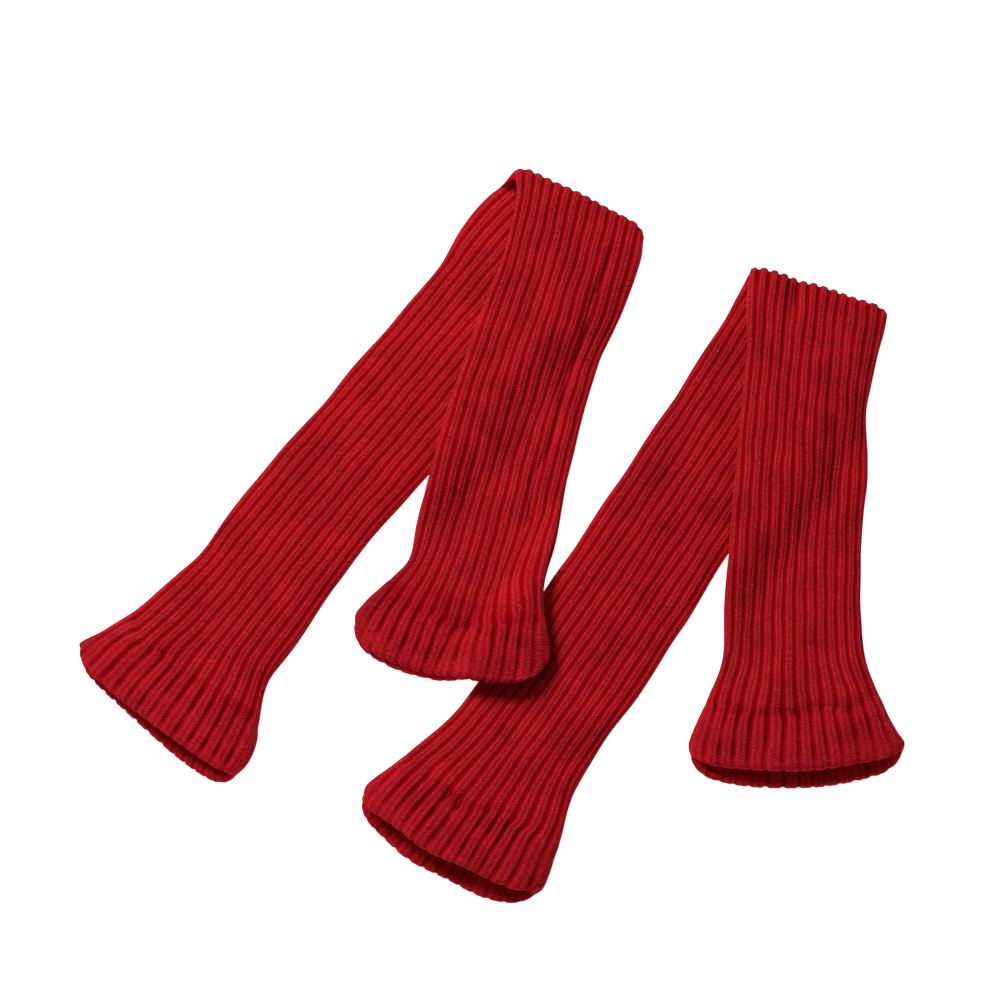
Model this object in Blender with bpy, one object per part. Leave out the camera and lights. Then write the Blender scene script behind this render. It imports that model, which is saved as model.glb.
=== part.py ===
"""A pair of rib-knit leg warmers, each folded over once and laid flat on a floor.

Each leg warmer is one long knitted tube, pressed flat by its own weight. Its first run lies on the
floor, the tube then rolls over a fold line, and its second run comes back down over the first. Both
ends flare into an open mouth with a turned-in hem. The second run of the west leg warmer ends on top
of the first run of the east one.

How a tube is worked out:
  strip    its centre line laid out straight through the fold, as places along and past the fold line
  middle   the strip rolled over the fold line, and draped over what lies below it
  ring     the tube's flattened section at one place on the strip, set out from the middle
  wall     one closed loft out through the outer rings of a piece, and back through its inner rings
"""

import math
from collections import namedtuple

import bmesh
import bpy
import numpy as np

MM = 0.001

# Cloth, in metres.
KNIT_WALL = 0.0028  # one layer of the rib knit
HEM_WALL = 0.0042  # the hem, turned in and linked down
HEM_DEPTH = 0.033  # from the mouth to the line where the hem is linked down
LIP_ROUNDING = 0.0014  # how far the middle of a hem's lip stands out past its edges
JOIN_GAP = 0.0003  # between pieces that meet end to end
LEVEL_SHARE = 0.96  # a section is level beyond this share of its half height

# The fold.
ROLL_START = 0.014  # the second run's piece starts this far before the fold line
ROLL_SETTLES = 0.085  # how far back from the roll the second run has come down to rest
TAPER_EVENS = 0.150  # how far back the knit has stretched to make up for the roll's taper
CORNER_LENGTH = 0.014  # how far along the tube a drawn-back corner reaches
CORNER_START = 0.7  # a corner is rounded off beyond this share of the half width

# The second run, lying over another run.
DRAPE_HEIGHT = 0.0094  # a flattened tube and a little air
DRAPE_START = 0.001  # how far past the lower run's edge the upper one starts to fall
OWN_FALL = 0.034  # how far it takes to reach the floor beside its own first run
CROSS_FALL = 0.026  # the same, beside the other leg warmer

# Spacing of the points that make the faces.
RING_POINTS = 24
RADIAN_LENGTH = 0.008  # a radian of turning counts as this much of a ring's length, so edges get points
FIRST_RUN_STEP = 0.028
FIRST_RUN_END = 0.018  # this much of it, before the roll, has shorter steps
FIRST_RUN_END_STEP = 0.006
SECOND_RUN_STEP = 0.017
ROLL_STEP = 0.0045
HEM_STEP = 0.0075
LYING_POINTS = 24  # along a first run, for telling how far a place is from its edge
SLOPE_STEP = 0.0005

# x and y are millimetres from the middle of the pair, and the rest is millimetres too, but for square,
# which is 2 for an ellipse and more for a blunter section.
Station = namedtuple("Station", "x y half_width half_height square")
# Taper is how much the roll's radius grows for each millimetre across the tube. A corner is how far the
# tube's edge is drawn back there, so that the fold ends in a rounded corner.
Fold = namedtuple("Fold", "x y turn_deg radius taper corner_west corner_east")
# A mouth's slant, how far its middle bows out, how far its corners are rounded off, and how far the
# upper lip stays back at the west corner and at the east one.
Mouth = namedtuple("Mouth", "slant_deg bow rounded back_west back_east")

WEST_FIRST = (
    Station(-195.6, -132.7, 61.0, 9.5, 2.3),
    Station(-185.1, -112.2, 57.0, 8.0, 2.6),
    Station(-166.6, -81.7, 44.5, 6.0, 3.4),
    Station(-146.6, -55.2, 41.0, 4.7, 4.0),
    Station(-124.1, -18.7, 40.0, 4.5, 4.0),
    Station(-96.6, 21.8, 40.0, 4.5, 4.0),
    Station(-67.6, 59.8, 41.0, 4.5, 4.0),
    Station(-33.1, 109.3, 40.5, 4.5, 4.0),
    Station(-2.1, 152.8, 41.0, 4.5, 4.0),
    Station(23.5, 191.3, 46.0, 4.5, 4.0),
)
WEST_FOLD = Fold(42.4, 213.8, -24.5, 9.0, -0.07, 8.0, 8.0)
WEST_SECOND = (
    Station(51.9, 191.3, 44.2, 4.5, 4.0),
    Station(41.8, 156.8, 40.4, 4.5, 4.0),
    Station(29.4, 126.8, 39.5, 4.5, 4.0),
    Station(13.9, 74.3, 39.5, 4.5, 4.0),
    Station(2.4, 24.8, 40.5, 4.5, 4.0),
    Station(-6.1, -15.2, 41.0, 4.7, 4.0),
    Station(-11.6, -41.2, 42.0, 6.0, 3.4),
    Station(-18.8, -65.2, 50.6, 7.2, 2.6),
    Station(-27.0, -91.2, 59.2, 7.0, 2.3),
)
WEST_MOUTHS = (Mouth(13.5, 4.0, 3.5, 1.0, 6.0), Mouth(-5.0, 13.0, 6.0, -1.0, -9.0))

EAST_FIRST = (
    Station(-28.6, -214.7, 58.0, 11.0, 2.3),
    Station(-10.6, -186.2, 52.5, 9.0, 2.6),
    Station(9.4, -152.7, 42.0, 6.0, 3.4),
    Station(24.4, -129.7, 40.5, 4.7, 4.0),
    Station(48.4, -94.7, 40.5, 4.5, 4.0),
    Station(73.4, -53.7, 40.5, 4.5, 4.0),
    Station(97.9, -14.2, 40.0, 4.5, 4.0),
    Station(122.4, 26.3, 40.5, 4.5, 4.0),
    Station(151.9, 74.3, 40.5, 4.5, 4.0),
    Station(175.4, 114.8, 40.5, 4.5, 4.0),
)
EAST_FOLD = Fold(192.4, 149.8, -19.3, 6.0, -0.02, 2.0, 3.5)
EAST_SECOND = (
    Station(197.4, 133.3, 44.0, 4.5, 4.0),
    Station(193.9, 108.3, 40.0, 4.5, 4.0),
    Station(188.4, 81.3, 38.0, 4.5, 4.0),
    Station(185.4, 43.8, 39.5, 4.5, 4.0),
    Station(181.4, 8.8, 39.5, 4.5, 4.0),
    Station(175.9, -35.2, 39.5, 4.5, 4.0),
    Station(173.9, -64.2, 40.0, 4.7, 4.0),
    Station(172.9, -96.2, 42.0, 5.5, 3.6),
    Station(172.4, -123.2, 51.5, 7.0, 2.8),
    Station(170.9, -160.7, 62.0, 8.5, 2.3),
)
EAST_MOUTHS = (Mouth(-2.0, 8.0, 4.0, 5.0, 6.0), Mouth(-4.0, 9.5, 4.5, 6.0, 7.0))


def smooth_step(share):
    """0 to 1 with level ends."""
    share = np.clip(share, 0.0, 1.0)
    return share * share * (3.0 - 2.0 * share)


def corner_drop(wide):
    """How far a rounded corner has dropped away, as a share of its size, at a share of the half width."""
    return np.clip((np.abs(wide) - CORNER_START) / (1.0 - CORNER_START), 0.0, 1.0) ** 3


def curve_through(knots, rows):
    """A smooth curve with one row of values at each knot, and straight past its ends."""
    slopes = np.gradient(rows, knots, axis=0)

    def at(place):
        inside = np.clip(place, knots[0], knots[-1])
        i = np.clip(np.searchsorted(knots, inside, side="right") - 1, 0, len(knots) - 2)
        span = (knots[i + 1] - knots[i])[..., None]
        u = (inside - knots[i])[..., None] / span
        near = rows[i] * (1 + 2 * u) + slopes[i] * span * u
        far = rows[i + 1] * (3 - 2 * u) - slopes[i + 1] * span * (1 - u)
        past_end = (place - inside)[..., None]
        return near * (1 - u) ** 2 + far * u**2 + past_end * np.where(u > 0.5, slopes[i + 1], slopes[i])

    return at


class LyingRun:
    """A run of tube as something to lie on: its centre line on the floor, and its half widths."""

    def __init__(self, points, half_widths):
        self.points = points
        self.half_widths = half_widths

    def lift(self, floor, fall):
        """How high this run holds up a cloth that lies over it at places on the floor."""
        start = self.points[:-1]
        side = self.points[1:] - start
        from_start = floor[..., None, :] - start
        share = np.clip((from_start * side).sum(-1) / (side**2).sum(-1), 0.0, 1.0)
        away = np.linalg.norm(from_start - share[..., None] * side, axis=-1)
        edge = self.half_widths[:-1] + share * np.diff(self.half_widths)
        past_edge = (away - edge).min(axis=-1)
        return DRAPE_HEIGHT * (1.0 - smooth_step((past_edge - DRAPE_START) / fall))


class LegWarmer:
    """One tube: its first run from the mouth to the fold, the roll, and its second run to the other mouth."""

    def __init__(self, first, fold, second, mouths, crosses=()):
        turn = math.radians(fold.turn_deg)
        self.fold_middle = np.array([fold.x, fold.y]) * MM
        self.along_fold = np.array([math.cos(turn), math.sin(turn)])
        self.past_fold = np.array([-math.sin(turn), math.cos(turn)])
        self.radius = fold.radius * MM
        self.taper = fold.taper
        self.corners = (fold.corner_west * MM, fold.corner_east * MM)
        self.mouths = mouths
        rows = np.concatenate([self.strip_rows(first), self.strip_rows(second, after_roll=True)])
        steps = np.linalg.norm(np.diff(rows[:, :2], axis=0), axis=1)
        knots = np.concatenate([[0.0], np.cumsum(steps)])
        self.at = curve_through(knots, rows)
        self.length = knots[-1]
        self.fold_at = np.interp(0.0, rows[:, 1], knots)
        lying = self.at(np.linspace(0.0, self.fold_at, LYING_POINTS))
        self.first_run = LyingRun(self.floor_points(lying[:, 0], lying[:, 1]), lying[:, 2])
        self.lies_on = ((self.first_run, OWN_FALL), *((run, CROSS_FALL) for run in crosses))

    def strip_rows(self, stations, after_roll=False):
        """The stations as places along and past the fold line. The second run is laid on past the roll."""
        table = np.array(stations) * [MM, MM, MM, MM, 1.0]
        from_fold = table[:, :2] - self.fold_middle
        along = from_fold @ self.along_fold
        past = from_fold @ self.past_fold
        if after_roll:
            past = math.pi * self.radius - past
        return np.column_stack([along, past, table[:, 2:]])

    def floor_points(self, along, past):
        """Places along and past the fold line, as x and y."""
        return self.fold_middle + along[..., None] * self.along_fold + past[..., None] * self.past_fold

    def heading(self, place):
        """The direction of the strip, along and past the fold line."""
        ahead = self.at(place + SLOPE_STEP)[..., :2] - self.at(place - SLOPE_STEP)[..., :2]
        return ahead / np.linalg.norm(ahead, axis=-1, keepdims=True)

    def middle(self, place, across):
        """The tube's middle surface, at places on the strip and across it, less the tube's own half height."""
        ahead = self.heading(place)
        centre = self.at(place)
        along = centre[..., 0] + across * ahead[..., 1]
        past = centre[..., 1] - across * ahead[..., 0]
        radius = self.radius + self.taper * across
        turned = np.clip(past / radius, 0.0, math.pi)
        beyond = np.maximum(past - math.pi * radius, 0.0)
        evened = math.pi * self.taper * across * smooth_step(beyond / TAPER_EVENS)
        floor = self.floor_points(along, np.minimum(past, 0.0) + radius * np.sin(turned) - beyond - evened)
        rolled = radius * (1.0 - np.cos(turned))
        lift = np.max([run.lift(floor, fall) for run, fall in self.lies_on], axis=0)
        height = rolled + (lift - rolled) * smooth_step(beyond / ROLL_SETTLES)
        return np.concatenate([floor, height[..., None]], axis=-1)

    def normal(self, place, across):
        """The middle surface's own upward direction on the first run, which points down on the second."""
        sideways = self.middle(place, across + SLOPE_STEP) - self.middle(place, across - SLOPE_STEP)
        forwards = self.middle(place + SLOPE_STEP, across) - self.middle(place - SLOPE_STEP, across)
        normal = np.cross(sideways, forwards)
        return normal / np.linalg.norm(normal, axis=-1, keepdims=True)

    def corner_pull(self, place, across, wide):
        """How x and y move near the roll, where the tube's edges are drawn back in rounded corners."""
        past = self.at(place)[..., 1] - across * self.heading(place)[..., 0]
        from_roll = (past - 0.5 * math.pi * (self.radius + self.taper * across)) / CORNER_LENGTH
        corner = np.where(wide > 0.0, self.corners[1], self.corners[0])
        drawn_back = corner * corner_drop(wide) * np.exp(-(from_roll**2))
        return -drawn_back[..., None] * self.past_fold

    def mouth_shift(self, mouth, up, half_width, wide, high):
        """How far a mouth's rim lies out past a square end, at shares of the half width and half height."""
        slant = half_width * wide * math.tan(math.radians(mouth.slant_deg))
        bulge = mouth.bow * MM * (1.0 - wide**2)
        rounded = mouth.rounded * MM * corner_drop(wide)
        back = mouth.back_west + (mouth.back_east - mouth.back_west) * (0.5 + 0.5 * wide) ** 2
        held_back = back * MM * smooth_step(0.5 + 0.5 * up * high / LEVEL_SHARE)
        return slant + bulge - rounded - held_back

    def ring(self, place, inward=0.0, to_mouth=0.0):
        """The tube's section at one place, moved in by a wall. To_mouth is 1 at a rim, and 0 off the hem."""
        _, _, half_width, half_height, square = self.at(np.array(place))
        wide, high = flattened_oval(half_width, half_height, square)
        places = np.full(RING_POINTS, place)
        if to_mouth:
            second = place > self.fold_at
            out, up = (1.0, -1.0) if second else (-1.0, 1.0)
            mouth = self.mouths[1 if second else 0]
            places += out * to_mouth * self.mouth_shift(mouth, up, half_width, wide, high)
        across = (half_width - inward) * wide
        offset = (half_height - inward) * high
        points = self.middle(places, across) + offset[:, None] * self.normal(places, across)
        points[:, :2] += self.corner_pull(places, across, wide)
        return points + [0.0, 0.0, LEVEL_SHARE * half_height]


def flattened_oval(half_width, half_height, square):
    """A blunt oval with level faces, as shares of its half width and half height at its ring of points."""
    angle = np.linspace(0.0, 2.0 * math.pi, 721)
    wide = np.sign(np.cos(angle)) * np.abs(np.cos(angle)) ** (2.0 / square)
    high = np.sign(np.sin(angle)) * np.abs(np.sin(angle)) ** (2.0 / square)
    steps = np.stack([half_width * np.diff(wide), half_height * np.diff(high)])
    heading = np.unwrap(np.arctan2(steps[1], steps[0]))
    weight = np.linalg.norm(steps, axis=0) + RADIAN_LENGTH * np.abs(np.gradient(heading))
    passed = np.concatenate([[0.0], np.cumsum(weight)])
    wanted = np.linspace(0.0, passed[-1], RING_POINTS, endpoint=False)
    high = np.clip(high, -LEVEL_SHARE, LEVEL_SHARE)
    return np.interp(wanted, passed, wide), np.interp(wanted, passed, high)


def places_between(start, stop, step):
    return np.linspace(start, stop, max(3, 1 + round(abs(stop - start) / step)))


def add_loft(name, rings, material, collection):
    """A closed solid through rings that come back to where they began."""
    shape = bmesh.new()
    verts = [[shape.verts.new(point) for point in ring] for ring in rings]
    for ring, ahead in zip(verts, verts[1:] + verts[:1]):
        for j in range(RING_POINTS):
            shape.faces.new((ring[j - 1], ring[j], ahead[j], ahead[j - 1]))
    bmesh.ops.recalc_face_normals(shape, faces=shape.faces)
    mesh = bpy.data.meshes.new(name)
    shape.to_mesh(mesh)
    shape.free()
    mesh.shade_smooth()
    mesh.set_sharp_from_angle(angle=math.radians(50))
    mesh.materials.append(material)
    collection.objects.link(bpy.data.objects.new(name, mesh))


def add_run(name, leg, places, material, collection):
    """A run of tube, open at both ends."""
    outer = [leg.ring(place) for place in places]
    inner = [leg.ring(place, KNIT_WALL) for place in places]
    add_loft(name, outer + inner[::-1], material, collection)


def add_hem(name, leg, join, mouth_at, material, collection):
    """A hem, from the line where it is linked down to its rounded lip."""
    places = places_between(join, mouth_at, HEM_STEP)
    shares = ((places - join) / (mouth_at - join)) ** 2
    outer = [leg.ring(place, 0.0, share) for place, share in zip(places, shares)]
    inner = [leg.ring(place, HEM_WALL, share) for place, share in zip(places, shares)]
    lip_at = mouth_at + math.copysign(LIP_ROUNDING, mouth_at - join)
    lip = leg.ring(lip_at, 0.5 * HEM_WALL, 1.0)
    add_loft(name, [*outer, lip, *inner[::-1]], material, collection)


def add_leg_warmer(name, leg, tube, hem, collection):
    """The four pieces of one leg warmer: a hem and the first run, the second run and a hem."""
    second_join = leg.length - HEM_DEPTH
    roll_from = leg.fold_at - ROLL_START
    roll_to = leg.fold_at + math.pi * leg.radius + ROLL_START
    first = places_between(HEM_DEPTH + JOIN_GAP, roll_from - FIRST_RUN_END, FIRST_RUN_STEP)
    first_end = places_between(roll_from - FIRST_RUN_END, roll_from, FIRST_RUN_END_STEP)
    roll = places_between(roll_from + JOIN_GAP, roll_to, ROLL_STEP)
    settling = places_between(roll_to, second_join - JOIN_GAP, SECOND_RUN_STEP)
    add_hem(f"{name}_first_hem", leg, HEM_DEPTH, 0.0, hem, collection)
    add_run(f"{name}_first_run", leg, [*first, *first_end[1:]], tube, collection)
    add_run(f"{name}_second_run", leg, [*roll, *settling[1:]], tube, collection)
    add_hem(f"{name}_second_hem", leg, second_join, leg.length, hem, collection)


def knit_material(name, colour):
    material = bpy.data.materials.new(name)
    material.use_nodes = True
    shader = material.node_tree.nodes["Principled BSDF"]
    shader.inputs["Base Color"].default_value = (*colour, 1.0)
    shader.inputs["Roughness"].default_value = 0.9
    shader.inputs["Metallic"].default_value = 0.0
    return material


def main():
    for old in list(bpy.data.objects):
        bpy.data.objects.remove(old)
    pair = bpy.data.collections.new("leg_warmers")
    bpy.context.scene.collection.children.link(pair)
    tube = knit_material("rib_knit", (0.52, 0.005, 0.018))
    hem = knit_material("rib_hem", (0.48, 0.005, 0.018))
    east = LegWarmer(EAST_FIRST, EAST_FOLD, EAST_SECOND, EAST_MOUTHS)
    west = LegWarmer(WEST_FIRST, WEST_FOLD, WEST_SECOND, WEST_MOUTHS, crosses=(east.first_run,))
    add_leg_warmer("west", west, tube, hem, pair)
    add_leg_warmer("east", east, tube, hem, pair)


main()
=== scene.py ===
# %% [markdown]
# # A folded pair of rib-knit leg warmers
#
# Two long red tubes of rib knit lie on a pale floor. Each one is folded over once, so that its second
# run comes back down over its first, and both ends open in a flared cuff with a turned-in hem.
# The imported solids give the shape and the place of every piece. This scene puts a knitted skin on each
# of them: the same formulas on a mesh fine enough for the ribs, and a shader for the stitches.

import math
from collections import namedtuple

import bpy
import numpy as np
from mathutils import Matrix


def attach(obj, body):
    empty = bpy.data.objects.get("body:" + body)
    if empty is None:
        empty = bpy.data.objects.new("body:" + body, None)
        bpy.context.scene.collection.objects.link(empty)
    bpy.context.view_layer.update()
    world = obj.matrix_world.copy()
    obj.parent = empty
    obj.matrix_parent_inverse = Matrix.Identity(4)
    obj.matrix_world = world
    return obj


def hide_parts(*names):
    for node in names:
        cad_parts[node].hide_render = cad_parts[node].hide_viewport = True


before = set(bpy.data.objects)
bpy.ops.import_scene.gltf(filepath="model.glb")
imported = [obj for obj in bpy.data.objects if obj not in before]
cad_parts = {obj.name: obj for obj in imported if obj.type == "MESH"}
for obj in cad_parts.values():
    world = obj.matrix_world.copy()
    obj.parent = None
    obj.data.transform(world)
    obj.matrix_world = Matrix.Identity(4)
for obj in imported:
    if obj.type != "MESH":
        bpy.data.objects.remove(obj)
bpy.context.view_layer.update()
MM = 0.001
print("solids:", sorted(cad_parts))

# %% [markdown]
# ## Where each tube lies
#
# A knitted tube has no hard edges to model from, so its shape is held in a short table: the middle of
# the flattened tube at a few stations, with its half width, its half height and how blunt its section
# is. The solids are made from the same stations, which is what keeps skin and solid together. The tube
# could also be a curve with a bevel, but a curve can't widen unevenly, roll over a fold and lie on
# another tube at once.

# %% Tables of the two tubes, in millimetres from the middle of the pair
# Square is 2 for an ellipse, and more for a blunter section.
Station = namedtuple("Station", "x y half_width half_height square")
# Taper is how much the roll's radius grows for each millimetre across the tube. A corner is how far the
# tube's edge is drawn back there. Opens is how much deeper the troughs are where the roll stretches them.
Fold = namedtuple("Fold", "x y turn_deg radius taper corner_west corner_east opens")
# A mouth's slant, how far its middle bows out, how far its corners are rounded off, and how far the
# upper lip stays back at the west corner and at the east one.
Mouth = namedtuple("Mouth", "slant_deg bow rounded back_west back_east")

WEST_FIRST = (
    Station(-195.6, -132.7, 61.0, 9.5, 2.3),
    Station(-185.1, -112.2, 57.0, 8.0, 2.6),
    Station(-166.6, -81.7, 44.5, 6.0, 3.4),
    Station(-146.6, -55.2, 41.0, 4.7, 4.0),
    Station(-124.1, -18.7, 40.0, 4.5, 4.0),
    Station(-96.6, 21.8, 40.0, 4.5, 4.0),
    Station(-67.6, 59.8, 41.0, 4.5, 4.0),
    Station(-33.1, 109.3, 40.5, 4.5, 4.0),
    Station(-2.1, 152.8, 41.0, 4.5, 4.0),
    Station(23.5, 191.3, 46.0, 4.5, 4.0),
)
WEST_FOLD = Fold(42.4, 213.8, -24.5, 9.0, -0.07, 8.0, 8.0, 0.45)
WEST_SECOND = (
    Station(51.9, 191.3, 44.2, 4.5, 4.0),
    Station(41.8, 156.8, 40.4, 4.5, 4.0),
    Station(29.4, 126.8, 39.5, 4.5, 4.0),
    Station(13.9, 74.3, 39.5, 4.5, 4.0),
    Station(2.4, 24.8, 40.5, 4.5, 4.0),
    Station(-6.1, -15.2, 41.0, 4.7, 4.0),
    Station(-11.6, -41.2, 42.0, 6.0, 3.4),
    Station(-18.8, -65.2, 50.6, 7.2, 2.6),
    Station(-27.0, -91.2, 59.2, 7.0, 2.3),
)
WEST_MOUTHS = (Mouth(13.5, 4.0, 4.5, 0.0, 6.0), Mouth(-5.0, 13.0, 7.0, -1.0, -9.0))

EAST_FIRST = (
    Station(-28.6, -214.7, 58.0, 11.0, 2.3),
    Station(-10.6, -186.2, 52.5, 9.0, 2.6),
    Station(9.4, -152.7, 42.0, 6.0, 3.4),
    Station(24.4, -129.7, 40.5, 4.7, 4.0),
    Station(48.4, -94.7, 40.5, 4.5, 4.0),
    Station(73.4, -53.7, 40.5, 4.5, 4.0),
    Station(97.9, -14.2, 40.0, 4.5, 4.0),
    Station(122.4, 26.3, 40.5, 4.5, 4.0),
    Station(151.9, 74.3, 40.5, 4.5, 4.0),
    Station(175.4, 114.8, 40.5, 4.5, 4.0),
)
EAST_FOLD = Fold(192.4, 149.8, -19.3, 6.0, -0.02, 2.0, 3.5, 1.0)
EAST_SECOND = (
    Station(197.4, 133.3, 44.0, 4.5, 4.0),
    Station(193.9, 108.3, 40.0, 4.5, 4.0),
    Station(188.4, 81.3, 38.0, 4.5, 4.0),
    Station(185.4, 43.8, 39.5, 4.5, 4.0),
    Station(181.4, 8.8, 39.5, 4.5, 4.0),
    Station(175.9, -35.2, 39.5, 4.5, 4.0),
    Station(173.9, -64.2, 40.0, 4.7, 4.0),
    Station(172.9, -96.2, 42.0, 5.5, 3.6),
    Station(172.4, -123.2, 51.5, 7.0, 2.8),
    Station(170.9, -160.7, 62.0, 8.5, 2.3),
)
EAST_MOUTHS = (Mouth(-2.0, 8.0, 4.0, 5.0, 6.0), Mouth(-4.0, 9.5, 5.0, 6.0, 7.0))
print("stations:", sum(map(len, (WEST_FIRST, WEST_SECOND, EAST_FIRST, EAST_SECOND))))

# %% [markdown]
# ## From stations to a smooth tube
#
# Between stations the tube follows a smooth curve. Each tube is worked out as a strip laid out straight
# through its fold, and the strip is then rolled over the fold line and draped over what lies below it.
# Working on the strip keeps the ribs running on unbroken from one run, over the fold, to the next.


# %% Smooth steps and curves
CORNER_START = 0.7  # a corner is rounded off beyond this share of the half width


def smooth_step(share):
    """0 to 1 with level ends."""
    share = np.clip(share, 0.0, 1.0)
    return share * share * (3.0 - 2.0 * share)


def corner_drop(wide):
    """How far a rounded corner has dropped away, as a share of its size, at a share of the half width."""
    return np.clip((np.abs(wide) - CORNER_START) / (1.0 - CORNER_START), 0.0, 1.0) ** 3


def curve_through(knots, rows):
    """A smooth curve with one row of values at each knot, and straight past its ends."""
    slopes = np.gradient(rows, knots, axis=0)

    def at(place):
        inside = np.clip(place, knots[0], knots[-1])
        i = np.clip(np.searchsorted(knots, inside, side="right") - 1, 0, len(knots) - 2)
        span = (knots[i + 1] - knots[i])[..., None]
        u = (inside - knots[i])[..., None] / span
        near = rows[i] * (1 + 2 * u) + slopes[i] * span * u
        far = rows[i + 1] * (3 - 2 * u) - slopes[i + 1] * span * (1 - u)
        past_end = (place - inside)[..., None]
        return near * (1 - u) ** 2 + far * u**2 + past_end * np.where(u > 0.5, slopes[i + 1], slopes[i])

    return at


print("half a step:", smooth_step(0.5))

# %% A run of tube as something to lie on
DRAPE_HEIGHT = 9.4 * MM  # a flattened tube and a little air
DRAPE_START = 1.0 * MM  # how far past the lower run's edge the upper one starts to fall
OWN_FALL = 34.0 * MM  # how far it takes to reach the floor beside its own first run
CROSS_FALL = 26.0 * MM  # the same, beside the other leg warmer


class LyingRun:
    """A run of tube as something to lie on: its centre line on the floor, and its half widths."""

    def __init__(self, points, half_widths):
        self.points = points
        self.half_widths = half_widths

    def past_edge(self, floor):
        """How far places on the floor are past this run's edge. It is negative where they lie under it."""
        nearest = np.full(floor.shape[:-1], np.inf)
        for i in range(len(self.points) - 1):
            side = self.points[i + 1] - self.points[i]
            from_start = floor - self.points[i]
            share = np.clip(from_start @ side / (side @ side), 0.0, 1.0)
            away = np.linalg.norm(from_start - share[..., None] * side, axis=-1)
            edge = self.half_widths[i] + share * (self.half_widths[i + 1] - self.half_widths[i])
            nearest = np.minimum(nearest, away - edge)
        return nearest

    def lift(self, floor, fall):
        """How high this run holds up a cloth that lies over it."""
        return DRAPE_HEIGHT * (1.0 - smooth_step((self.past_edge(floor) - DRAPE_START) / fall))


print("a tube lies on another", DRAPE_HEIGHT / MM, "mm up")

# %% The strip of one leg warmer, rolled and draped
ROLL_SETTLES = 85.0 * MM  # how far back from the roll the second run has come down to rest
TAPER_EVENS = 150.0 * MM  # how far back the knit has stretched to make up for the roll's taper
CORNER_LENGTH = 14.0 * MM  # how far along the tube a drawn-back corner reaches
LEVEL_SHARE = 0.96  # a section is level beyond this share of its half height
LYING_POINTS = 24  # along a first run, for telling how far a place is from its edge
SLOPE_STEP = 0.5 * MM
EVEN_LENGTH = 42.0 * MM  # wales stay straight over about this length, where the tube's edges waver
EVEN_REACH = 3.0  # how many such lengths the evening takes in at each side
STRAY_STEP = 2.0 * MM
FLARE_LENGTH = 70.0 * MM  # from a mouth, over which the wales fan out instead


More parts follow.
